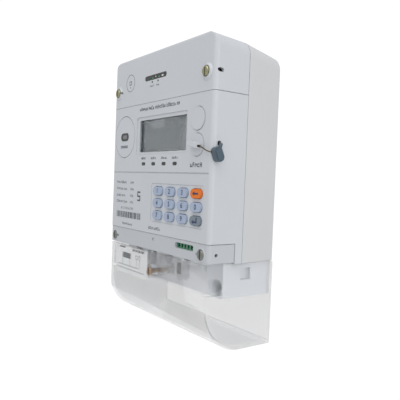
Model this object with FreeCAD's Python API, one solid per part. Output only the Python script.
"""Wall-mounted prepaid electricity meter, as an assembly of separate pieces.

Millimetres. +X is to the right as the front is seen, +Y goes into the wall, +Z is up.
The origin is the middle of the base's back face, which lies on the wall.
"""
import FreeCAD, Part
import math
import os

os.makedirs("parts", exist_ok=True)
V = FreeCAD.Vector

# ---- case envelope -------------------------------------------------------------
WIDTH = 131.0                 # over the front shell
DEPTH = 54.5                  # wall to the front face
TOP = 84.4                    # top of the case's front above the origin
CASE_BOTTOM = -56.3           # lower end of the case's side walls
SEAM_DEPTH = DEPTH - 26.5     # base depth, wall to the seam
WALL = 2.2                    # shell wall
BACK_WALL = 3.0               # base wall against the wall
SIDE_TAPER = 2.2              # how far each side of the base comes in at the wall
TOP_TAPER = 4.8               # how far the top of the base comes down at the wall
COVER_TAPER = 1.8             # how far the top comes down from the front to the seam
CORNER = 10.0                 # case corners, seen from the front
EDGE = 3.0                    # front edge to the sides
TOP_EDGE = 2.0                # front edge to the top
GAP = 0.3                     # between pieces that move past each other
FIT = 0.05                    # round pin in its hole, per side
NEAR = 0.05                   # a lens in its opening, per side
FOOT_R = 0.4                  # square-looking corners
SHADOW = (0.25, 0.8)          # shadow line along the seam: width, depth
OVER = 1.0                    # how far a cutting tool runs past a face

HALF = WIDTH / 2
FRONT = -DEPTH
SEAM = -SEAM_DEPTH
INNER_FRONT = FRONT + WALL    # inner face of the front wall

# ---- module cover and lower band ------------------------------------------------
MODULE_SPLIT = 48.5           # seam between the front cover and the module cover
COVER_FOOT = -43.7            # lower edge of the front cover's face
BAND_GAP = 0.22               # shadow gap over the band
BAND_HEIGHT = 11.6
BAND_INSET = 0.3              # the band's face stands this far back
BAND_BACK = SEAM - 5.9        # where the band's sides end
MODULE_TRAVEL = 40.0          # lift-off path of the module cover
SPLIT_GAP = 0.12              # half of the seam between the two covers
BAND_TOP = COVER_FOOT - BAND_GAP
BAND_FOOT = BAND_TOP - BAND_HEIGHT
BAND_FRONT = FRONT + BAND_INSET
BAND_INNER = HALF - BAND_INSET - WALL
PLATFORM_FRONT = FRONT + 16.0 # floor under the module cover
PLATFORM_HALF = HALF - WALL - 0.6
PLATFORM_TOP = TOP - COVER_TAPER - WALL - 0.6
PASSAGE = (30.0, 60.0)        # open between the two halves of the front cover: z0, z1
RIM_DEEP = 3.0

# ---- seal screws ----------------------------------------------------------------
SEAL_X = HALF - 8.0           # the four corner seal screws
SEAL_Z_MODULE = 60.2
SEAL_Z_BAND = -50.6
SCREW_R = 1.5
SCREW_HEAD_R = 3.15
SCREW_PROUD = (2.3, 1.0, 2.6)           # heads in front of the face: module, band, clear cover
SCREW_SLOT = (1.0, 0.8)                 # driver slot: width, depth
MODULE_COLLAR = (5.3, 4.1, 1.3)         # raised ring round a screw head: foot, rim, height
BAND_COLLAR = (4.6, 4.1, 0.4)
CUP_R = 3.45                            # recess inside the ring
CUP_FLOOR = 0.4                         # floor of the recess behind the face
KEYHOLE = (4.7, 0.95, 0.5)              # wire hole: distance from the screw, radius, half slot
BOSS_WALL = 1.6
SCREW_ROOM = 0.2                        # screw in its boss, per side

# ---- display and optical port ---------------------------------------------------
WINDOW = (-24.0, 36.6, 13.5, 36.5)      # visible glass: x0, x1, z0, z1
BEZEL = (-28.0, 38.5, 11.8, 39.0)       # shallow recess round it
BEZEL_STEP = 0.6
LCD_EDGE = 1.5                          # the glass is this much wider than its window, per side
LCD_BACK = INNER_FRONT + 3.4
PORT_X = -46.5
PORT_Z = 25.7
PORT_R = 15.5
PORT_GROOVE = 0.45
PORT_LENS = (12.0, 6.0)
LAMP_X0 = -16.3
LAMP_PITCH = 13.78
LAMP_Z = 5.1
LAMP_SIZE = (5.0, 2.3)

# ---- buttons and keys -----------------------------------------------------------
BUTTON_X = 49.7
BUTTON_Z = (32.8, 16.6)
BUTTON_R = (7.2, 7.0)
BUTTON_PROUD = 0.5
BUTTON_TRAVEL = 1.0
BUTTON_RIM = (0.9, 1.0, 1.8)            # rim: extra radius, thickness; radius of the stem
LUG = (10.7, 2.8, 3.8)                  # length, height, how far it stands out
LUG_TILT = 14.0
KEYPAD_THICK = 1.6
KEY_X0 = 6.0
KEY_Z0 = -13.6
KEY_PITCH = (15.15, 8.39)
KEY_SIZE = (11.3, 5.8)
KEYPAD = (KEY_X0 - KEY_SIZE[0] / 2 - 4.05,                      # x0, x1, z0, z1 of the key panel
          KEY_X0 + 3 * KEY_PITCH[0] + KEY_SIZE[0] / 2 + 1.2,
          KEY_Z0 - 2 * KEY_PITCH[1] - KEY_SIZE[1] / 2 - 1.82,
          KEY_Z0 + KEY_SIZE[1] / 2 + 2.1)
KEYPAD_LEDGE = (1.2, 0.3)               # ledge under the panel: round it, and at its right
KEY_PROUD = 1.1
KEY_TRAVEL = 1.0
KEY_FLANGE = 0.55                       # wider rim that keeps a key in its hole
KEY_RIM = 0.8
KEY_STEM = (1.6, 0.8)                   # radius, length behind the rim
DOME_R = 2.4
KEYPAD_BACK = FRONT + KEYPAD_THICK - 0.2
KEY_RIM_Y = KEYPAD_BACK + GAP / 2

# ---- terminals ------------------------------------------------------------------
BLOCK_FRONT = FRONT + 14.8
BLOCK_BOTTOM = -78.5
BLOCK_HALF = HALF - 3.8
BLOCK_EAR = 7.0               # width of the block's ears behind the band screws
BLOCK_TOP = -44.2
TERMINAL_X = (-44.0, -22.0, 0.0, 22.0)
TERMINAL_BORE_R = 4.25
TERMINAL_Y = -19.6
CAGE = (2 * TERMINAL_BORE_R + 2.5, 2 * TERMINAL_BORE_R + 4.3, 20.0)   # width, depth, height
CAGE_BOTTOM = -73.5
CLAMP_Z = (-58.2, -63.4)
CLAMP_HEAD = (2.5, 2.8, 2.6)            # radius, height, depth behind the block's front
CLAMP_R = 1.9
SLOT_WIDTH = 9.0
SLOT_BOTTOM = (-73.9, -73.9, -66.5, -73.9)
SLOT_FLOOR = BLOCK_FRONT + 5.6
ENTRY_R = TERMINAL_BORE_R + 0.95
FIXING_X = HALF - 9.5
FIXING_Z = -72.0
FIXING_R = 2.75
FIXING_HEAD = (4.95, BLOCK_FRONT + 11.2)      # counterbore: radius, y of its floor
POCKET_BACK = TERMINAL_Y + CAGE[1] / 2 + 2.2  # back of a cage's pocket

# ---- clear terminal cover -------------------------------------------------------
CLEAR_TOP = -56.6
CLEAR_BOTTOM = -111.3
CLEAR_WALL = 2.0
CLEAR_HALF = HALF - 1.3
CLEAR_EDGE = 2.5                        # its front edge to the sides
CLEAR_RADIUS = 28.0
COVER_SCREW = (0.5, -70.0)
COVER_CUP = (1.2, 4.9)                  # collar of the clear cover's screw: height, radius
INSERT_R = 2.4
POST = (13.3, -67.0, 1.65)
POST_POCKET = (2.6, 4.0, BLOCK_FRONT + 9.2)   # half width, half height, y of its floor
POST_REACH = -0.3                       # how far the post goes past the block's front
LABEL = (-57.5, -8.5, -78.5, -58.0)
LABEL_THICK = 0.2
LABEL_GLUE = 0.1
CLEAR_RIB = (3.6, -76.0, -74.0)         # corner ribs: width, z0, z1

# ---- inside ---------------------------------------------------------------------
BOARD_THICK = 1.6
DISPLAY_BOARD_Y = FRONT + 9.5
POWER_BOARD_Y = SEAM + 4.0
TALL = POWER_BOARD_Y - PLATFORM_FRONT - WALL - 0.8    # room for tall parts under the platform
DISPLAY_BOARD = (HALF - 5.5, -39.0, 44.0)     # half width, z0, z1
POWER_BOARD = (HALF - 6.5, -20.0, 68.0)
DISPLAY_CHIP = (-40.0, -28.0, -20.0, -8.0, 1.4)   # x0, x1, z0, z1, height
POWER_CHIP = (-30.0, -20.0, 0.0, 10.0, 1.5)
BATTERY = (20.0, 20.0, 12.25, 5.0)            # x, z, radius, height
BUZZER = (-15.0, 25.0, 6.0, 7.0)
TRANSFORMER = (20.0, 48.0, 34.0, 58.0, TALL)  # x0, x1, z0, z1, height
CAPACITOR_CANS = ((5.0, 48.0, 5.0), (5.0, 34.0, 4.0), (-8.0, 48.0, 4.0))
CAPACITOR_HIGH = TALL
RELAY = (-49.5, -12.0, -38.0, -13.5)
BAR_HALF = 4.5
BAR_THICK = 1.6
RELAY_FRONT = POWER_BOARD_Y + BOARD_THICK + 1.9

# ---- seal wire ------------------------------------------------------------------
WIRE_R = 0.45
SIDE_HOLE_MODULE = (FRONT + 4.0, 60.6, 4.5, 2.5)    # y, z, length, height
SIDE_HOLE_MIDDLE = (FRONT + 5.0, 17.2, 1.5)         # y, z, radius
SIDE_HOLE_BAND = (FRONT + 6.2, -50.3, 1.1)


# ---- plain shapes ---------------------------------------------------------------
def box(x0, x1, y0, y1, z0, z1):
    return Part.makeBox(x1 - x0, y1 - y0, z1 - z0, V(x0, y0, z0))


def round_y(x, z, r, y0, y1):
    """Round bar along Y."""
    return Part.makeCylinder(r, y1 - y0, V(x, y0, z), V(0, 1, 0))


def round_x(y, z, r, x0, x1):
    return Part.makeCylinder(r, x1 - x0, V(x0, y, z), V(1, 0, 0))


def round_z(x, y, r, z0, z1):
    return Part.makeCylinder(r, z1 - z0, V(x, y, z0), V(0, 0, 1))


def corner_wire(x0, x1, z0, z1, y, radii):
    """Rectangle in the plane at y; radii are lower-left, lower-right, upper-right, upper-left."""
    centres = [
        (x0 + radii[0], z0 + radii[0], 180.0),
        (x1 - radii[1], z0 + radii[1], 270.0),
        (x1 - radii[2], z1 - radii[2], 0.0),
        (x0 + radii[3], z1 - radii[3], 90.0),
    ]
    ends = []
    edges = []
    for (cx, cz, start), r in zip(centres, radii):
        points = []
        for turn in (0.0, 45.0, 90.0):
            angle = math.radians(start + turn)
            points.append(V(cx + r * math.cos(angle), y, cz + r * math.sin(angle)))
        ends.append((points[0], points[2]))
        edges.append(Part.Arc(*points).toShape())
    outline = []
    for i, arc in enumerate(edges):
        outline.append(arc)
        after = ends[(i + 1) % 4][0]
        outline.append(Part.LineSegment(ends[i][1], after).toShape())
    return Part.Wire(outline)


def plate(x0, x1, z0, z1, r, y0, y1):
    """Flat plate facing the front, with rounded corners."""
    face = Part.Face(corner_wire(x0, x1, z0, z1, y0, (r, r, r, r)))
    return face.extrude(V(0, y1 - y0, 0))


def stadium(x, z, length, height, y0, y1):
    """Bar with half-round ends, lying along X."""
    r = height / 2
    reach = (length - height) / 2
    shape = box(x - reach, x + reach, y0, y1, z - r, z + r)
    shape = shape.fuse(round_y(x - reach, z, r, y0, y1))
    return shape.fuse(round_y(x + reach, z, r, y0, y1)).removeSplitter()


def case_form(half, front, back, z0, z1, corner, edge, top_edge):
    """Case volume: upper corners, front-to-side edges and front-to-top edge are rounded."""
    across = Part.Face(corner_wire(-half, half, z0, z1, front - 1, (FOOT_R, FOOT_R, corner, corner)))
    form = across.extrude(V(0, back - front + 1, 0))
    reach = 2 * edge
    plan = Part.Face(corner_wire(-half, half, front, back + reach, 0, (edge, edge, edge, edge)))
    plan.rotate(V(0, 0, 0), V(1, 0, 0), 90)
    plan = plan.mirror(V(0, 0, 0), V(0, 1, 0))
    plan.translate(V(0, 0, z0 - 1))
    form = form.common(plan.extrude(V(0, 0, z1 - z0 + 2)))
    if top_edge > 0:
        keep = box(-half - 1, half + 1, front, back, z0 - 1, z1 - top_edge)
        keep = keep.fuse(box(-half - 1, half + 1, front + top_edge, back, z0 - 1, z1 + 1))
        keep = keep.fuse(round_x(front + top_edge, z1 - top_edge, top_edge, -half - 1, half + 1))
        form = form.common(keep)
    return form.common(box(-half - 1, half + 1, front - 1, back, z0 - 1, z1 + 1))


def tube(points, r):
    """Straight runs joined by tangent arcs, swept with a round section."""
    points = [V(*p) for p in points]
    edges = []
    here = points[0]
    for before, corner, after in zip(points, points[1:], points[2:]):
        into = (corner - before)
        out = (after - corner)
        run = min(into.Length, out.Length)
        into.normalize()
        out.normalize()
        turn = into.getAngle(out)
        radius = 0.45 * run / math.tan(turn / 2)
        start = corner - into * (0.45 * run)
        end = corner + out * (0.45 * run)
        inward = (out - into)
        inward.normalize()
        to_centre = radius / math.cos(turn / 2)
        middle = corner + inward * (to_centre - radius)
        edges.append(Part.LineSegment(here, start).toShape())
        edges.append(Part.Arc(start, middle, end).toShape())
        here = end
    edges.append(Part.LineSegment(here, points[-1]).toShape())
    path = Part.Wire(edges)
    direction = points[1] - points[0]
    section = Part.Wire([Part.makeCircle(r, points[0], direction)])
    return path.makePipeShell([section], True, False)


def group(shapes):
    return Part.makeCompound(shapes)


def save(name, shape):
    bad = [s for s in shape.Solids if not s.isValid() or s.Volume <= 0]
    if bad or not shape.Solids:
        raise ValueError("bad shape: " + name)
    shape.exportStep("parts/" + name + ".step")


# ---- rear base ------------------------------------------------------------------
TOP_AT_SEAM = TOP - COVER_TAPER
TOP_AT_WALL = TOP_AT_SEAM - TOP_TAPER
HALF_AT_WALL = HALF - SIDE_TAPER
HANGER = (32.0, 44.0, 1.4)              # width, length, thickness
HANGER_TRAVEL = 15.0
LEDGE = 2.0                             # thickness of the gasket ledge in the base
HANGER_HOLE_R = 2.6
HANGER_SLIDE_Y = -BACK_WALL + 0.9       # front side of the hanger's slot
CASE_SCREW_PLACES = ((13.5 - HALF, 72.0), (HALF - 13.5, 72.0), (9.5 - HALF, -30.0), (HALF - 9.5, -30.0))
CASE_SCREW_R = 1.4
CASE_SCREW_TIP = PLATFORM_FRONT + 4.0
CASE_SCREW_HEAD = (1.3, -3.2, -0.8)     # wider than the screw by this, y0, y1
CASE_BOSS_R = 3.2
STANDOFF_R = 2.5
STANDOFF_PLACES = [(x, z) for x in (15.5 - HALF, HALF - 15.5) for z in (-10.0, 55.0)]


def base_form(inset, seam, wall_y):
    r = CORNER - inset
    low = CASE_BOTTOM
    radii = (FOOT_R, FOOT_R, r, r)
    at_seam = corner_wire(-HALF + inset, HALF - inset, low, TOP_AT_SEAM - inset, seam, radii)
    share = (wall_y - SEAM) / (0 - SEAM)
    half = HALF - SIDE_TAPER * share - inset
    top = TOP_AT_SEAM - TOP_TAPER * share - inset
    at_wall = corner_wire(-half, half, low, top, wall_y, radii)
    return Part.makeLoft([at_seam, at_wall], True, True)


def rear_base():
    shape = base_form(0, SEAM, 0)
    hollow = base_form(WALL, SEAM, -BACK_WALL)
    hollow_low = box(-HALF_AT_WALL + WALL, HALF_AT_WALL - WALL, SEAM - OVER, -BACK_WALL,
                     CASE_BOTTOM - OVER, CASE_BOTTOM + 10)
    shape = shape.cut(hollow).cut(hollow_low)
    shape = shape.fuse(box(-BLOCK_HALF, BLOCK_HALF, -BACK_WALL, 0, BLOCK_BOTTOM, CASE_BOTTOM))
    # ledge inside the rim, under the gasket
    ledge = base_form(0.5, SEAM, SEAM + LEDGE)
    ledge = ledge.common(box(-HALF, HALF, SEAM, SEAM + LEDGE, COVER_FOOT - 0.3, TOP))
    window = box(-PLATFORM_HALF + 3, PLATFORM_HALF - 3, SEAM - 1, SEAM + LEDGE + 1,
                 COVER_FOOT + 4, PLATFORM_TOP - 3)
    shape = shape.fuse(ledge.cut(window))
    for x, z in CASE_SCREW_PLACES:
        shape = shape.fuse(round_y(x, z, CASE_BOSS_R, SEAM, -BACK_WALL))
    for x, z in STANDOFF_PLACES:
        shape = shape.fuse(round_y(x, z, STANDOFF_R, POWER_BOARD_Y + BOARD_THICK, -BACK_WALL))
    wider, head_y, _ = CASE_SCREW_HEAD
    for x, z in CASE_SCREW_PLACES:
        shape = shape.cut(round_y(x, z, CASE_SCREW_R + FIT, SEAM - OVER, OVER))
        shape = shape.cut(round_y(x, z, CASE_SCREW_R + wider + 0.1, head_y, OVER))
    w, length, _ = HANGER
    shape = shape.cut(box(-w / 2 - GAP, w / 2 + GAP, HANGER_SLIDE_Y - GAP, OVER,
                          TOP_AT_WALL - length - GAP, TOP))
    for x in (-FIXING_X, FIXING_X):
        shape = shape.cut(round_y(x, FIXING_Z, FIXING_R, -BACK_WALL - 1, 1))
    return shape.removeSplitter()


def hanger_bracket():
    """Steel tongue in the back of the base; it slides up and shows its hanging hole."""
    w, length, thick = HANGER
    z1 = TOP_AT_WALL - 1.0
    y0 = HANGER_SLIDE_Y
    shape = plate(-w / 2, w / 2, z1 - length + 1.0, z1, 4.0, y0, y0 + thick)
    hole_z = z1 - 7.0
    shape = shape.cut(round_y(0, hole_z, HANGER_HOLE_R, y0 - 1, y0 + thick + 1))
    return shape


# ---- front cover ----------------------------------------------------------------
SCREW_HOLE_R = SCREW_R + SCREW_ROOM
BOSS_FRONT = INNER_FRONT + 2.0          # front end of the bosses under the module cover


def front_cover():
    shape = case_form(HALF, FRONT, SEAM, COVER_FOOT, MODULE_SPLIT - SPLIT_GAP, FOOT_R, EDGE, 0)
    hollow = case_form(HALF - WALL, INNER_FRONT, SEAM + 1, COVER_FOOT + WALL,
                       MODULE_SPLIT - SPLIT_GAP - WALL, FOOT_R, EDGE - WALL, 0)
    shape = shape.cut(hollow)
    shape = shape.cut(box(-HALF + WALL, HALF - WALL, PLATFORM_FRONT + WALL, SEAM + 1, *PASSAGE))
    platform = case_form(PLATFORM_HALF, PLATFORM_FRONT, SEAM, MODULE_SPLIT - 3, PLATFORM_TOP,
                         CORNER - WALL, 1.0, 0)
    inside = case_form(PLATFORM_HALF - WALL, PLATFORM_FRONT + WALL, SEAM + 1, MODULE_SPLIT - 10,
                       PLATFORM_TOP - WALL, CORNER - 2 * WALL, 0.5, 0)
    shape = shape.fuse(platform.cut(inside))
    for side in (-1, 1):
        x0 = min(side * HALF, side * (HALF - WALL))
        strip = box(x0, x0 + WALL, BAND_BACK, SEAM, CASE_BOTTOM, COVER_FOOT + 1)
        shape = shape.fuse(strip)
        boss = round_y(side * SEAL_X, SEAL_Z_MODULE, SCREW_HOLE_R + BOSS_WALL, BOSS_FRONT,
                       PLATFORM_FRONT + 1)
        shape = shape.fuse(boss)
        shape = shape.cut(round_y(side * SEAL_X, SEAL_Z_MODULE, SCREW_HOLE_R,
                                  FRONT, PLATFORM_FRONT + WALL + 1))
    deep = CASE_SCREW_TIP - 2.9
    for x, z in CASE_SCREW_PLACES:
        shape = shape.fuse(round_y(x, z, CASE_BOSS_R, deep, SEAM))
        if z < MODULE_SPLIT:
            rib_x = min(x, math.copysign(HALF - WALL, x))
            rib = box(rib_x, rib_x + HALF - WALL - abs(x), deep, SEAM, z - 1, z + 1)
            shape = shape.fuse(rib)
        shape = shape.cut(round_y(x, z, CASE_SCREW_R + FIT, CASE_SCREW_TIP - 0.4, SEAM + 1))
    # rim behind the side walls that carries the gasket
    rim = box(-HALF + WALL, HALF - WALL, SEAM - RIM_DEEP, SEAM, COVER_FOOT + WALL, MODULE_SPLIT)
    shape = shape.fuse(rim.cut(box(-PLATFORM_HALF + WALL, PLATFORM_HALF - WALL,
                                   SEAM - RIM_DEEP - 1, SEAM + 1, -100, 100)))
    # shallow recess and opening of the display
    x0, x1, z0, z1 = BEZEL
    shape = shape.cut(plate(x0, x1, z0, z1, 2.0, FRONT - 1, FRONT + BEZEL_STEP))
    x0, x1, z0, z1 = WINDOW
    shape = shape.cut(plate(x0, x1, z0, z1, 1.0, FRONT - 1, INNER_FRONT + 1))
    # optical port, lamps, buttons
    shape = shape.cut(round_y(PORT_X, PORT_Z, PORT_R + PORT_GROOVE, FRONT - 1, FRONT + 1.2))
    shape = shape.cut(stadium(PORT_X, PORT_Z, *PORT_LENS, FRONT - 1, INNER_FRONT + 1))
    for i in range(4):
        shape = shape.cut(stadium(LAMP_X0 + LAMP_PITCH * i, LAMP_Z, *LAMP_SIZE,
                                  FRONT - 1, INNER_FRONT + 1))
    for z, r in zip(BUTTON_Z, BUTTON_R):
        shape = shape.cut(round_y(BUTTON_X, z, r + GAP, FRONT - 1, INNER_FRONT + 1))
    # keypad pocket with a ledge all round
    x0, x1, z0, z1 = KEYPAD
    shape = shape.cut(plate(x0, x1, z0, z1, 1.5, FRONT - 1, KEYPAD_BACK))
    ledge, right_ledge = KEYPAD_LEDGE
    shape = shape.cut(plate(x0 + ledge, x1 - right_ledge, z0 + ledge, z1 - ledge, 1.0,
                            FRONT - 1, INNER_FRONT + 1))
    # shadow line along the seam with the base
    for side in (-1, 1):
        ends = sorted((side * (HALF - SHADOW[1]), side * (HALF + OVER)))
        shape = shape.cut(box(*ends, SEAM - SHADOW[0], SEAM + OVER, CASE_BOTTOM - OVER, MODULE_SPLIT))
    # groove across the face and the wire hole in the right side
    shape = shape.cut(box(-HALF - 1, HALF - EDGE, FRONT - 1, FRONT + 0.5, -1.5, -0.7))
    y, z, r = SIDE_HOLE_MIDDLE
    shape = shape.cut(round_x(y, z, r, HALF - WALL - 1, HALF + 1))
    # groove for the gasket in the rear edge
    return shape.cut(gasket_form(0.1)).removeSplitter()


def gasket_form(extra):
    """Flat rubber ring in the rear edge of the front cover, on the base's ledge."""
    mid = WALL / 2
    w = 0.5 + extra
    depth = 0.9 + extra
    half = PLATFORM_HALF - mid
    low = COVER_FOOT + mid
    high = PLATFORM_TOP - mid
    outer = corner_wire(-half - w, half + w, low - w, high + w, SEAM - depth, (2, 2, 5, 5))
    inner = corner_wire(-half + w, half - w, low + w, high - w, SEAM - depth, (1, 1, 4, 4))
    ring = Part.Face(outer).extrude(V(0, depth, 0))
    return ring.cut(Part.Face(inner).extrude(V(0, depth, 0)))


# ---- module cover ---------------------------------------------------------------
MODULE_WINDOW = (-3.6, 65.9, 29.3, 3.5)     # x, z, length, height
MODULE_MARKS = (-7.8, 0.0)
MODULE_MARK_Z = 62.7
MODULE_TRAY = (38.0, 51.5, 76.0, 1.2)       # half width, z0, z1, wall
MODULE_CHIPS = ((-26.0, -8.0, 58.0, 70.0, 2.2), (4.0, 14.0, 57.0, 67.0, 1.6))   # x0, x1, z0, z1, height


def add_screw_cup(shape, side, z, face, collar):
    """Raised ring round a seal screw, with a recess and a keyhole for the seal wire."""
    x = side * SEAL_X
    top = face - collar[2] - OVER
    reach, hole_r, half_slot = KEYHOLE
    shape = shape.fuse(Part.makeCone(*collar, V(x, face, z), V(0, -1, 0)))
    shape = shape.cut(round_y(x, z, CUP_R, top, face + CUP_FLOOR))
    hole_x = x - side * reach
    shape = shape.cut(round_y(hole_x, z, hole_r, top, face + 2 * CUP_FLOOR))
    ends = sorted((x, hole_x))
    shape = shape.cut(box(*ends, top, face + CUP_FLOOR, z - half_slot, z + half_slot))
    return shape.cut(round_y(x, z, SCREW_R + FIT, face, face + WALL + OVER))


def module_cover():
    back = SEAM - 0.3
    shape = case_form(HALF, FRONT, back, MODULE_SPLIT + SPLIT_GAP, TOP, CORNER, EDGE, TOP_EDGE)
    radii = (FOOT_R, FOOT_R, CORNER, CORNER)
    at_front = corner_wire(-HALF, HALF, MODULE_SPLIT, TOP, FRONT, radii)
    at_seam = corner_wire(-HALF, HALF, MODULE_SPLIT, TOP_AT_SEAM, SEAM, radii)
    shape = shape.common(Part.makeLoft([at_front, at_seam], True, True))
    hollow = case_form(HALF - WALL, INNER_FRONT, back + 1, MODULE_SPLIT - 1, TOP - COVER_TAPER - WALL,
                       CORNER - WALL, EDGE - WALL, 0)
    shape = shape.cut(hollow)
    for side in (-1, 1):
        shape = add_screw_cup(shape, side, SEAL_Z_MODULE, FRONT, MODULE_COLLAR)
    x, z, length, height = MODULE_WINDOW
    shape = shape.cut(stadium(x, z, length, height, FRONT - 1, INNER_FRONT + 1))
    for mark in MODULE_MARKS:
        shape = shape.cut(round_y(mark, MODULE_MARK_Z, 0.8, FRONT - 1, INNER_FRONT + 1))
    y, z, length, height = SIDE_HOLE_MODULE
    r = height / 2
    for step in (-1, 1):
        shape = shape.cut(round_x(y + step * (length - height) / 2, z, r, HALF - WALL - 1, HALF + 1))
    return shape.cut(box(HALF - WALL - 1, HALF + 1, y - (length - height) / 2,
                         y + (length - height) / 2, z - r, z + r)).removeSplitter()


def module_window():
    """One clear light guide: the slot lens and the two small lamps under it."""
    x, z, length, height = MODULE_WINDOW
    lens = stadium(x, z, length - 0.1, height - 0.1, FRONT + 0.3, INNER_FRONT)
    guide = lens.fuse(stadium(x, z, length + 3, height + 3, INNER_FRONT, INNER_FRONT + 1.0))
    for mark in MODULE_MARKS:
        guide = guide.fuse(round_y(mark, MODULE_MARK_Z, 0.75, FRONT, INNER_FRONT + 1.0))
    return guide.removeSplitter()


def comm_module():
    """Plug-in communication module: a board with its chips in a plastic tray."""
    half, z0, z1, wall = MODULE_TRAY
    back = PLATFORM_FRONT - 1.2
    tray = plate(-half, half, z0, z1, 2.0, FRONT + 5.0, back)
    tray = tray.cut(plate(wall - half, half - wall, z0 + wall, z1 - wall, 1.0, FRONT + 4.0, back - wall))
    inner = half - wall - 0.1
    board_back = PLATFORM_FRONT - 5.4
    chip_back = board_back - BOARD_THICK
    shape = tray.fuse(plate(-inner, inner, z0 + wall + 0.1, z1 - wall - 0.1, 0.8, chip_back, board_back))
    for x0, x1, chip_z0, chip_z1, high in MODULE_CHIPS:
        shape = shape.fuse(box(x0, x1, chip_back - high, chip_back, chip_z0, chip_z1))
    for side in (-1, 1):
        ends = sorted((side * inner, side * (inner - 4.0)))
        shape = shape.fuse(box(*ends, board_back, back, z0 + 1.5, z0 + 4.5))
    return shape.fuse(box(-12, 12, board_back, PLATFORM_FRONT, 60, 65)).removeSplitter()


# ---- screw band -----------------------------------------------------------------
AUX_WINDOW = (28.5, 49.4, -49.75, -46.05)
AUX_WAYS = 6
BAND_RING = (0.7, -47.4, 1.35, 0.85)        # x, z, outer and inner radius of the small ring


def screw_band():
    shape = case_form(HALF - BAND_INSET, BAND_FRONT, BAND_BACK - GAP, BAND_FOOT, BAND_TOP,
                      FOOT_R, EDGE - BAND_INSET, 0)
    hollow = case_form(BAND_INNER, BAND_FRONT + WALL, BAND_BACK + 2, BAND_FOOT + 1.8,
                       BAND_TOP + 5, FOOT_R, max(EDGE - BAND_INSET - WALL, 0.5), 0)
    shape = shape.cut(hollow)
    for side in (-1, 1):
        shape = add_screw_cup(shape, side, SEAL_Z_BAND, BAND_FRONT, BAND_COLLAR)
    x0, x1, z0, z1 = AUX_WINDOW
    shape = shape.cut(plate(x0, x1, z0, z1, 1.2, BAND_FRONT - 1, BAND_FRONT + WALL + 1))
    x, z, outer, inner = BAND_RING
    shape = shape.fuse(round_y(x, z, outer, BAND_FRONT - 0.3, BAND_FRONT + 0.5))
    shape = shape.cut(round_y(x, z, inner, BAND_FRONT - 1, BAND_FRONT + 0.6))
    y, z, r = SIDE_HOLE_BAND
    shape = shape.cut(round_x(y, z, r, BAND_INNER - 1, HALF))
    # the block's top corners pass under the band's floor
    return shape.cut(box(-BAND_INNER - 0.1, BAND_INNER + 0.1, BLOCK_FRONT - GAP, BAND_BACK,
                         BAND_FOOT - 1, BAND_FOOT + 2))


def aux_connector():
    x0, x1, z0, z1 = AUX_WINDOW
    shape = box(x0 - 2, x1 + 2, BAND_FRONT + WALL + 0.3, BLOCK_FRONT, z0 - 1.5, z1 + 1.5)
    pitch = (x1 - x0) / AUX_WAYS
    for i in range(AUX_WAYS):
        x = x0 + pitch * (i + 0.5)
        shape = shape.cut(round_y(x, (z0 + z1) / 2, 1.2, BAND_FRONT + WALL, BAND_FRONT + WALL + 6))
    return shape


# ---- seal screws ----------------------------------------------------------------
def seal_screw(x, z, top, seat, tip):
    """Head with a chamfered rim and a driver slot; axis along Y."""
    rim = 0.6
    head = round_y(x, z, SCREW_HEAD_R, top + rim, seat)
    cap = Part.makeCone(SCREW_HEAD_R, SCREW_HEAD_R - rim, rim, V(x, top + rim, z), V(0, -1, 0))
    width, deep = SCREW_SLOT
    head = head.fuse(cap)
    head = head.cut(box(x - width / 2, x + width / 2, top - OVER, top + deep, z - 5, z + 5))
    return head.fuse(round_y(x, z, SCREW_R, seat, tip)).removeSplitter()


# ---- terminal block -------------------------------------------------------------
BAND_SCREW_DEEP = 5.2                   # how far each screw goes into the block
COVER_SCREW_DEEP = 3.8


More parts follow.
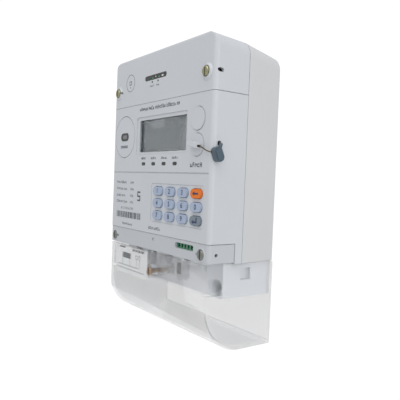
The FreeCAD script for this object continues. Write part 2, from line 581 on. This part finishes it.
def terminal_block():
    shape = box(-BLOCK_HALF, BLOCK_HALF, BLOCK_FRONT, -BACK_WALL, BLOCK_BOTTOM, CASE_BOTTOM)
    inner_half = HALF_AT_WALL - WALL - 0.5
    shape = shape.fuse(box(-inner_half, inner_half, BLOCK_FRONT, -BACK_WALL, CASE_BOTTOM, BLOCK_TOP))
    ear = BAND_INNER - GAP
    for side in (-1, 1):
        ends = sorted((side * (ear - BLOCK_EAR), side * ear))
        shape = shape.fuse(box(*ends, BLOCK_FRONT, BAND_BACK - GAP, CASE_BOTTOM, BLOCK_TOP))
    for x, bottom in zip(TERMINAL_X, SLOT_BOTTOM):
        r = SLOT_WIDTH / 2
        slot = box(x - r, x + r, BLOCK_FRONT - 1, SLOT_FLOOR, bottom + r, CLAMP_Z[0] + 4.2)
        slot = slot.fuse(round_y(x, bottom + r, r, BLOCK_FRONT - 1, SLOT_FLOOR))
        shape = shape.cut(slot)
        w, depth, height = CAGE
        cage_front = TERMINAL_Y - depth / 2
        pocket = box(x - w / 2, x + w / 2, cage_front, POCKET_BACK, CAGE_BOTTOM, BLOCK_TOP + 1)
        shape = shape.cut(pocket)
        shape = shape.cut(round_z(x, TERMINAL_Y, ENTRY_R, BLOCK_BOTTOM - 1, CAGE_BOTTOM + 1))
        for z in CLAMP_Z:
            shape = shape.cut(round_y(x, z, CLAMP_R + 0.4, SLOT_FLOOR - 1, cage_front + 1))
    head_r, head_floor = FIXING_HEAD
    for side in (-1, 1):
        shape = shape.cut(round_y(side * FIXING_X, FIXING_Z, FIXING_R, BLOCK_FRONT - 1, 1))
        shape = shape.cut(round_y(side * FIXING_X, FIXING_Z, head_r, BLOCK_FRONT - 1, head_floor))
        shape = shape.cut(round_y(side * SEAL_X, SEAL_Z_BAND, SCREW_HOLE_R, BLOCK_FRONT - 1,
                                  BLOCK_FRONT + BAND_SCREW_DEEP + 1.5))
        ends = sorted((side * (BLOCK_HALF + OVER), side * (BLOCK_HALF - 2.5)))
        shape = shape.cut(box(*ends, TERMINAL_Y - 5.9, TERMINAL_Y + 2.1, -67.5, -60.0))
    x, z = COVER_SCREW
    shape = shape.cut(round_y(x, z, INSERT_R, BLOCK_FRONT - 1, BLOCK_FRONT + COVER_SCREW_DEEP + 2.0))
    px, pz, _ = POST
    half, high, floor = POST_POCKET
    shape = shape.cut(box(px - half, px + half, BLOCK_FRONT - 1, floor, pz - high, pz + high))
    return shape.removeSplitter()


def terminal_cage(x):
    w, depth, height = CAGE
    y0 = TERMINAL_Y - depth / 2
    shape = box(x - w / 2, x + w / 2, y0, y0 + depth, CAGE_BOTTOM, CAGE_BOTTOM + height)
    shape = shape.cut(round_z(x, TERMINAL_Y, TERMINAL_BORE_R, CAGE_BOTTOM - 1, CAGE_BOTTOM + height + 1))
    for z in CLAMP_Z:
        shape = shape.cut(round_y(x, z, CLAMP_R, y0 - 1, TERMINAL_Y))
    return shape


def clamp_screw(x, z):
    r, high, behind = CLAMP_HEAD
    top = BLOCK_FRONT + behind
    seat = top + high
    head = round_y(x, z, r, top, seat)
    head = head.cut(box(x - r, x + r, top - 1, top + 1.4, z - 0.6, z + 0.6))
    tip = TERMINAL_Y - TERMINAL_BORE_R - 0.4
    return head.fuse(round_y(x, z, CLAMP_R, seat, tip)).removeSplitter()


def cover_screw_insert():
    x, z = COVER_SCREW
    sleeve = round_y(x, z, INSERT_R, BLOCK_FRONT, BLOCK_FRONT + COVER_SCREW_DEEP + 2.0)
    return sleeve.cut(round_y(x, z, SCREW_R + FIT, BLOCK_FRONT - 1, BLOCK_FRONT + COVER_SCREW_DEEP + 1.0))


# ---- clear terminal cover -------------------------------------------------------
def clear_profile(inset, x):
    """Side view of the clear cover: flat front, big lower radius, flat bottom, open rear."""
    r = CLEAR_RADIUS - inset
    front = FRONT + inset
    bottom = CLEAR_BOTTOM + inset
    centre = (FRONT + CLEAR_RADIUS, CLEAR_BOTTOM + CLEAR_RADIUS)
    top = CLEAR_TOP + (5 if inset else 0)
    rear = 5 if inset else 0
    slant = r * math.sqrt(0.5)
    points = [
        V(x, rear, top),
        V(x, front, top),
        V(x, front, centre[1]),
        V(x, centre[0], bottom),
        V(x, rear, bottom),
    ]
    bend = V(x, centre[0] - slant, centre[1] - slant)
    edges = [
        Part.LineSegment(points[0], points[1]).toShape(),
        Part.LineSegment(points[1], points[2]).toShape(),
        Part.Arc(points[2], bend, points[3]).toShape(),
        Part.LineSegment(points[3], points[4]).toShape(),
        Part.LineSegment(points[4], points[0]).toShape(),
    ]
    return Part.Face(Part.Wire(edges))


def terminal_cover():
    shape = clear_profile(0, -CLEAR_HALF).extrude(V(2 * CLEAR_HALF, 0, 0))
    corner = Part.Face(corner_wire(-CLEAR_HALF, CLEAR_HALF, FRONT, DEPTH, 0,
                                   (CLEAR_EDGE, CLEAR_EDGE, FOOT_R, FOOT_R)))
    corner.rotate(V(0, 0, 0), V(1, 0, 0), 90)
    corner = corner.mirror(V(0, 0, 0), V(0, 1, 0))
    corner.translate(V(0, 0, CLEAR_BOTTOM - 1))
    shape = shape.common(corner.extrude(V(0, 0, 80)))
    inner_half = CLEAR_HALF - CLEAR_WALL
    inside = clear_profile(CLEAR_WALL, -inner_half).extrude(V(2 * inner_half, 0, 0))
    shape = shape.cut(inside)
    # stiffening ribs in the front corners
    width, z0, z1 = CLEAR_RIB
    for side in (-1, 1):
        ends = sorted((side * inner_half, side * (inner_half - width)))
        shape = shape.fuse(box(*ends, FRONT + CLEAR_WALL, BLOCK_FRONT - 2 * GAP, z0, z1))
    x, z = COVER_SCREW
    boss_length = BLOCK_FRONT - GAP - FRONT - CLEAR_WALL
    collar_h, collar_r = COVER_CUP
    boss = Part.makeCone(collar_r, INSERT_R + 0.6, boss_length, V(x, FRONT + CLEAR_WALL, z), V(0, 1, 0))
    shape = shape.fuse(boss).fuse(round_y(x, z, collar_r, FRONT - collar_h, FRONT + 1))
    shape = shape.cut(round_y(x, z, SCREW_R + FIT, FRONT - 3, BLOCK_FRONT))
    px, pz, pr = POST
    shape = shape.fuse(round_y(px, pz, pr, FRONT + CLEAR_WALL / 2, BLOCK_FRONT + POST_REACH))
    return shape.removeSplitter()


def wiring_label():
    x0, x1, z0, z1 = LABEL
    y = FRONT + CLEAR_WALL + LABEL_GLUE
    return box(x0, x1, y, y + LABEL_THICK, z0, z1)


def tamper_switch():
    px, pz, _ = POST
    half, high, floor = POST_POCKET
    y0 = BLOCK_FRONT + POST_REACH + 0.4
    return box(px - half + 0.1, px + half - 0.1, y0, floor, pz - high + 0.1, pz + high - 0.1)


# ---- display, port, lamps --------------------------------------------------------
def display_window():
    x0, x1, z0, z1 = WINDOW
    y0 = FRONT + BEZEL_STEP
    lens = plate(x0 + NEAR, x1 - NEAR, z0 + NEAR, z1 - NEAR, 0.9, y0, INNER_FRONT)
    return lens.fuse(plate(x0 - 2, x1 + 2, z0 - 2, z1 + 2, 1.0, INNER_FRONT, INNER_FRONT + 1.0))


def lcd_glass():
    x0, x1, z0, z1 = WINDOW
    return box(x0 - LCD_EDGE, x1 + LCD_EDGE, LCD_BACK - 2.2, LCD_BACK, z0 - LCD_EDGE, z1 + LCD_EDGE)


def lcd_holder():
    """Tray that carries the glass, with the backlight behind it and pins to the board."""
    x0, x1, z0, z1 = WINDOW
    edge = LCD_EDGE + 1.0
    inset = 2.0
    shape = box(x0 - edge, x1 + edge, LCD_BACK, DISPLAY_BOARD_Y - 0.8, z0 - edge, z1 + edge)
    shape = shape.cut(box(x0 + inset, x1 - inset, LCD_BACK + 1.2, DISPLAY_BOARD_Y, z0 + inset, z1 - inset))
    for x in (x0, x1):
        shape = shape.fuse(box(x - 1, x + 1, DISPLAY_BOARD_Y - 1.5, DISPLAY_BOARD_Y, z0, z0 + 2))
    return shape.removeSplitter()


def optical_port_plate():
    """Steel-backed disc that holds a reading head; it follows the case's rounded edge."""
    shape = round_y(PORT_X, PORT_Z, PORT_R, FRONT - 1, FRONT + 1.2)
    shape = shape.common(case_form(HALF, FRONT, SEAM, COVER_FOOT, MODULE_SPLIT, FOOT_R, EDGE, 0))
    return shape.cut(stadium(PORT_X, PORT_Z, *PORT_LENS, FRONT - 1, FRONT + 2))


def optical_port_lens():
    length, height = PORT_LENS
    lens = stadium(PORT_X, PORT_Z, length - 0.1, height - 0.1, FRONT - 0.2, INNER_FRONT)
    return lens.fuse(stadium(PORT_X, PORT_Z, length + 3, height + 3, INNER_FRONT, INNER_FRONT + 1))


def infrared_pair():
    shapes = []
    for dx in (-3.25, 3.25):
        shapes.append(round_y(PORT_X + dx, PORT_Z, 1.5, INNER_FRONT + 1.3, DISPLAY_BOARD_Y))
    return group(shapes)


def lamp_windows():
    length, height = LAMP_SIZE
    shapes = []
    for i in range(4):
        x = LAMP_X0 + LAMP_PITCH * i
        pipe = stadium(x, LAMP_Z, length - 0.1, height - 0.1, FRONT - 0.1, INNER_FRONT)
        shapes.append(pipe.fuse(stadium(x, LAMP_Z, length + 1.5, height + 1.5,
                                        INNER_FRONT, DISPLAY_BOARD_Y - 1.0)))
    return group(shapes)


# ---- keys and buttons ------------------------------------------------------------
def keypad_frame():
    x0, x1, z0, z1 = KEYPAD
    y1 = KEYPAD_BACK
    shape = plate(x0 + NEAR, x1 - NEAR, z0 + NEAR, z1 - NEAR, 1.4, FRONT + 0.2, y1)
    for column in range(4):
        for row in range(3):
            x, z = key_place(column, row)
            shape = shape.cut(stadium(x, z, KEY_SIZE[0] + 2 * GAP, KEY_SIZE[1] + 2 * GAP,
                                      FRONT - 1, y1 + 1))
    return shape


def key_place(column, row):
    return KEY_X0 + KEY_PITCH[0] * column, KEY_Z0 - KEY_PITCH[1] * row


def key(column, row):
    """Stadium cap with a rim behind the frame and a short stem towards its rubber dome."""
    x, z = key_place(column, row)
    length, height = KEY_SIZE
    back = KEY_RIM_Y + KEY_RIM
    stem_r, stem = KEY_STEM
    shape = stadium(x, z, length, height, FRONT - KEY_PROUD, back)
    rim = stadium(x, z, length + 2 * KEY_FLANGE, height + 2 * KEY_FLANGE, KEY_RIM_Y, back)
    return shape.fuse(rim).fuse(round_y(x, z, stem_r, KEY_RIM_Y, back + stem)).removeSplitter()


def keypad_mat():
    """Rubber mat on the board, with one low dome under each key."""
    x0, x1, z0, z1 = KEYPAD
    shape = plate(x0 + 1, x1 - 1, z0 + 1, z1 - 1, 1.0, DISPLAY_BOARD_Y - 1.0, DISPLAY_BOARD_Y)
    for column in range(4):
        for row in range(3):
            x, z = key_place(column, row)
            top = KEY_RIM_Y + KEY_RIM + KEY_STEM[1] + KEY_TRAVEL + 0.2
            shape = shape.fuse(round_y(x, z, DOME_R, top, DISPLAY_BOARD_Y - 0.5))
    return shape


def button(index):
    z = BUTTON_Z[index]
    r = BUTTON_R[index]
    rim_y = INNER_FRONT + GAP
    wider, thick, stem_r = BUTTON_RIM
    shape = round_y(BUTTON_X, z, r, FRONT - BUTTON_PROUD, rim_y + thick)
    shape = shape.fuse(round_y(BUTTON_X, z, r + wider, rim_y, rim_y + thick))
    shape = shape.fuse(round_y(BUTTON_X, z, stem_r, rim_y, DISPLAY_BOARD_Y - BUTTON_TRAVEL - 0.8))
    if index == 0:
        return shape.removeSplitter()
    length, height, proud = LUG
    top = FRONT - BUTTON_PROUD - proud
    lug = box(BUTTON_X - length / 2, BUTTON_X + length / 2, top, FRONT - BUTTON_PROUD + 0.2,
              z - height / 2, z + height / 2)
    slot = box(BUTTON_X - length, BUTTON_X + length, top + 0.6, FRONT - BUTTON_PROUD - 0.5,
               z - WIRE_R - GAP, z + WIRE_R + GAP)
    lug = lug.cut(slot)
    lug.rotate(V(BUTTON_X, 0, z), V(0, 1, 0), LUG_TILT)
    return shape.fuse(lug).removeSplitter()


# ---- seal ------------------------------------------------------------------------
SEAL_BODY = (3.0, 4.5, 3.6)             # half width, half height, thickness
SEAL_SIDE = HALF + 0.4                  # side of the seal that faces the case
SEAL_PLACE = (FRONT + 2.3, 10.4)        # y and z of its middle
SEAL_LEAN = 25.0
SEAL_NECK_R = 1.1


def seal_wire():
    """From the lower button's lug round the corner into the seal."""
    reach = LUG[0] / 2
    c = math.cos(math.radians(LUG_TILT))
    s = math.sin(math.radians(LUG_TILT))
    y = FRONT - BUTTON_PROUD - 0.5 - WIRE_R - 0.25
    z = BUTTON_Z[1]
    points = [
        (BUTTON_X + (reach - 3.0) * c, y, z - (reach - 3.0) * s),
        (BUTTON_X + (reach + 1.5) * c, y, z - (reach + 1.5) * s),
        (HALF - 3.4, y - 0.6, 12.6),
        (HALF + 0.4, y - 0.2, 11.5),
        (HALF + 2.4, FRONT - 0.1, 11.3),
    ]
    return tube(points, WIRE_R)


def seal_tail():
    """From the top of the seal into the hole in the case's side."""
    y, z, r = SIDE_HOLE_MIDDLE
    points = [
        (HALF + 2.2, FRONT + 3.6, 13.9),
        (HALF + 2.2, FRONT + 4.6, 16.2),
        (HALF + 1.2, y, z),
        (HALF - 1.6, y, z),
    ]
    return tube(points, WIRE_R)


def seal_body():
    """Crimp seal that hangs by a short neck beside the front right corner."""
    wide, high, thick = SEAL_BODY
    body = plate(-wide, wide, -high, high, wide - 0.4, 0, thick)
    pad = plate(0.9 - wide, wide - 0.9, 0.9 - high, high - 0.9, wide - 1.3, -0.5, thick / 2)
    body = body.fuse(pad)
    body.rotate(V(0, 0, 0), V(0, 0, 1), 90)
    body.rotate(V(0, 0, 0), V(1, 0, 0), SEAL_LEAN)
    body.translate(V(SEAL_SIDE + thick, SEAL_PLACE[0], SEAL_PLACE[1]))
    start = V(SEAL_SIDE + thick / 2, FRONT + 3.4, 13.0)
    neck = V(SEAL_SIDE + 1.5, SIDE_HOLE_MIDDLE[0] - 0.2, SIDE_HOLE_MIDDLE[1] - 0.3) - start
    body = body.fuse(Part.makeCylinder(SEAL_NECK_R, neck.Length, start, neck))
    return body.cut(seal_wire()).cut(seal_tail()).removeSplitter()


# ---- boards and what they carry ----------------------------------------------------
def display_board():
    half, z0, z1 = DISPLAY_BOARD
    back = DISPLAY_BOARD_Y + BOARD_THICK
    shape = box(-half, half, DISPLAY_BOARD_Y, back, z0, z1)
    x0, x1, chip_z0, chip_z1, high = DISPLAY_CHIP
    return shape.fuse(box(x0, x1, back, back + high, chip_z0, chip_z1))


def battery():
    x, z, r, high = BATTERY
    return round_y(x, z, r, DISPLAY_BOARD_Y + BOARD_THICK, DISPLAY_BOARD_Y + BOARD_THICK + high)


def buzzer():
    x, z, r, high = BUZZER
    return round_y(x, z, r, DISPLAY_BOARD_Y + BOARD_THICK, DISPLAY_BOARD_Y + BOARD_THICK + high)


def power_board():
    half, z0, z1 = POWER_BOARD
    y0 = POWER_BOARD_Y
    shape = box(-half, half, y0, y0 + BOARD_THICK, z0, z1)
    x0, x1, chip_z0, chip_z1, high = POWER_CHIP
    return shape.fuse(box(x0, x1, y0 - high, y0, chip_z0, chip_z1))


def transformer():
    x0, x1, z0, z1, high = TRANSFORMER
    core = box(x0, x1, POWER_BOARD_Y - high, POWER_BOARD_Y, z0, z1)
    return core.fuse(box(x0 - 3, x1 + 3, POWER_BOARD_Y - high + 2, POWER_BOARD_Y, z0 + 4, z1 - 4))


def capacitors():
    shapes = []
    for x, z, r in CAPACITOR_CANS:
        shapes.append(round_y(x, z, r, POWER_BOARD_Y - CAPACITOR_HIGH, POWER_BOARD_Y))
    return group(shapes)


def latching_relay():
    x0, x1, z0, z1 = RELAY
    return box(x0, x1, RELAY_FRONT, -BACK_WALL, z0, z1)


BAR_Y = TERMINAL_Y + CAGE[1] / 2
BAR_TOP = -37.0                         # where the live bars end, over the terminals
NEUTRAL_TOP = -39.0


def bar_up(x, top):
    return box(x - BAR_HALF, x + BAR_HALF, BAR_Y, BAR_Y + BAR_THICK, CAGE_BOTTOM + 2, top)


def current_shunt():
    """Live way in: from the first terminal through the shunt to the relay."""
    x = TERMINAL_X[0]
    block = box(x - BAR_HALF, x + BAR_HALF, BAR_Y - 1.2, BAR_Y + BAR_THICK, -43.5, -39.5)
    return bar_up(x, RELAY[2]).fuse(block).removeSplitter()


def load_bar():
    """From the relay to the fourth terminal, over the two neutral ones."""
    x = TERMINAL_X[3]
    across = box(RELAY[1], x + BAR_HALF, BAR_Y, BAR_Y + BAR_THICK, BAR_TOP, BAR_TOP + 2 * BAR_HALF)
    return bar_up(x, BAR_TOP).fuse(across).removeSplitter()


def neutral_bar():
    x0, x1 = TERMINAL_X[1:3]
    across = box(x0, x1, BAR_Y, BAR_Y + BAR_THICK, NEUTRAL_TOP - 5.0, NEUTRAL_TOP)
    return bar_up(x0, NEUTRAL_TOP - 3.8).fuse(bar_up(x1, NEUTRAL_TOP - 3.8)).fuse(across).removeSplitter()


def case_screws():
    wider, head_y, head_end = CASE_SCREW_HEAD
    shapes = []
    for x, z in CASE_SCREW_PLACES:
        head = round_y(x, z, CASE_SCREW_R + wider, head_y, head_end)
        shapes.append(head.fuse(round_y(x, z, CASE_SCREW_R, CASE_SCREW_TIP, head_y)))
    return group(shapes)


# ---- write every piece ---------------------------------------------------------------
save("rear_base", rear_base())
save("hanger_bracket", hanger_bracket())
save("front_cover", front_cover())
save("case_gasket", gasket_form(0))
save("case_screws", case_screws())
save("module_cover", module_cover())
save("module_window", module_window())
save("comm_module", comm_module())
save("screw_band", screw_band())
save("aux_connector", aux_connector())
for label, side in (("left", -1), ("right", 1)):
    save("module_screw_" + label,
         seal_screw(side * SEAL_X, SEAL_Z_MODULE, FRONT - SCREW_PROUD[0], FRONT + CUP_FLOOR,
                    PLATFORM_FRONT))
    save("band_screw_" + label,
         seal_screw(side * SEAL_X, SEAL_Z_BAND, BAND_FRONT - SCREW_PROUD[1], BAND_FRONT + CUP_FLOOR,
                    BLOCK_FRONT + BAND_SCREW_DEEP))
save("cover_screw",
     seal_screw(*COVER_SCREW, FRONT - SCREW_PROUD[2], FRONT - COVER_CUP[0],
                BLOCK_FRONT + COVER_SCREW_DEEP))
save("terminal_block", terminal_block())
for number, x in enumerate(TERMINAL_X, start=1):
    save("terminal_cage_%d" % number, terminal_cage(x))
save("clamp_screws", group([clamp_screw(x, z) for x in TERMINAL_X for z in CLAMP_Z]))
save("cover_screw_insert", cover_screw_insert())
save("terminal_cover", terminal_cover())
save("wiring_label", wiring_label())
save("tamper_switch", tamper_switch())
save("display_window", display_window())
save("lcd_glass", lcd_glass())
save("lcd_holder", lcd_holder())
save("optical_port_plate", optical_port_plate())
save("optical_port_lens", optical_port_lens())
save("infrared_pair", infrared_pair())
save("lamp_windows", lamp_windows())
save("keypad_frame", keypad_frame())
save("keypad_mat", keypad_mat())
KEY_NAMES = (("1", "2", "3", "delete"), ("4", "5", "6", "0"), ("7", "8", "9", "enter"))
for row, names in enumerate(KEY_NAMES):
    for column, name in enumerate(names):
        save("key_" + name, key(column, row))
save("button_upper", button(0))
save("button_lower", button(1))
save("seal_wire", group([seal_wire(), seal_tail()]))
save("seal_body", seal_body())
save("display_board", display_board())
save("battery", battery())
save("buzzer", buzzer())
save("power_board", power_board())
save("transformer", transformer())
save("capacitors", capacitors())
save("latching_relay", latching_relay())
save("current_shunt", current_shunt())
save("load_bar", load_bar())
save("neutral_bar", neutral_bar())
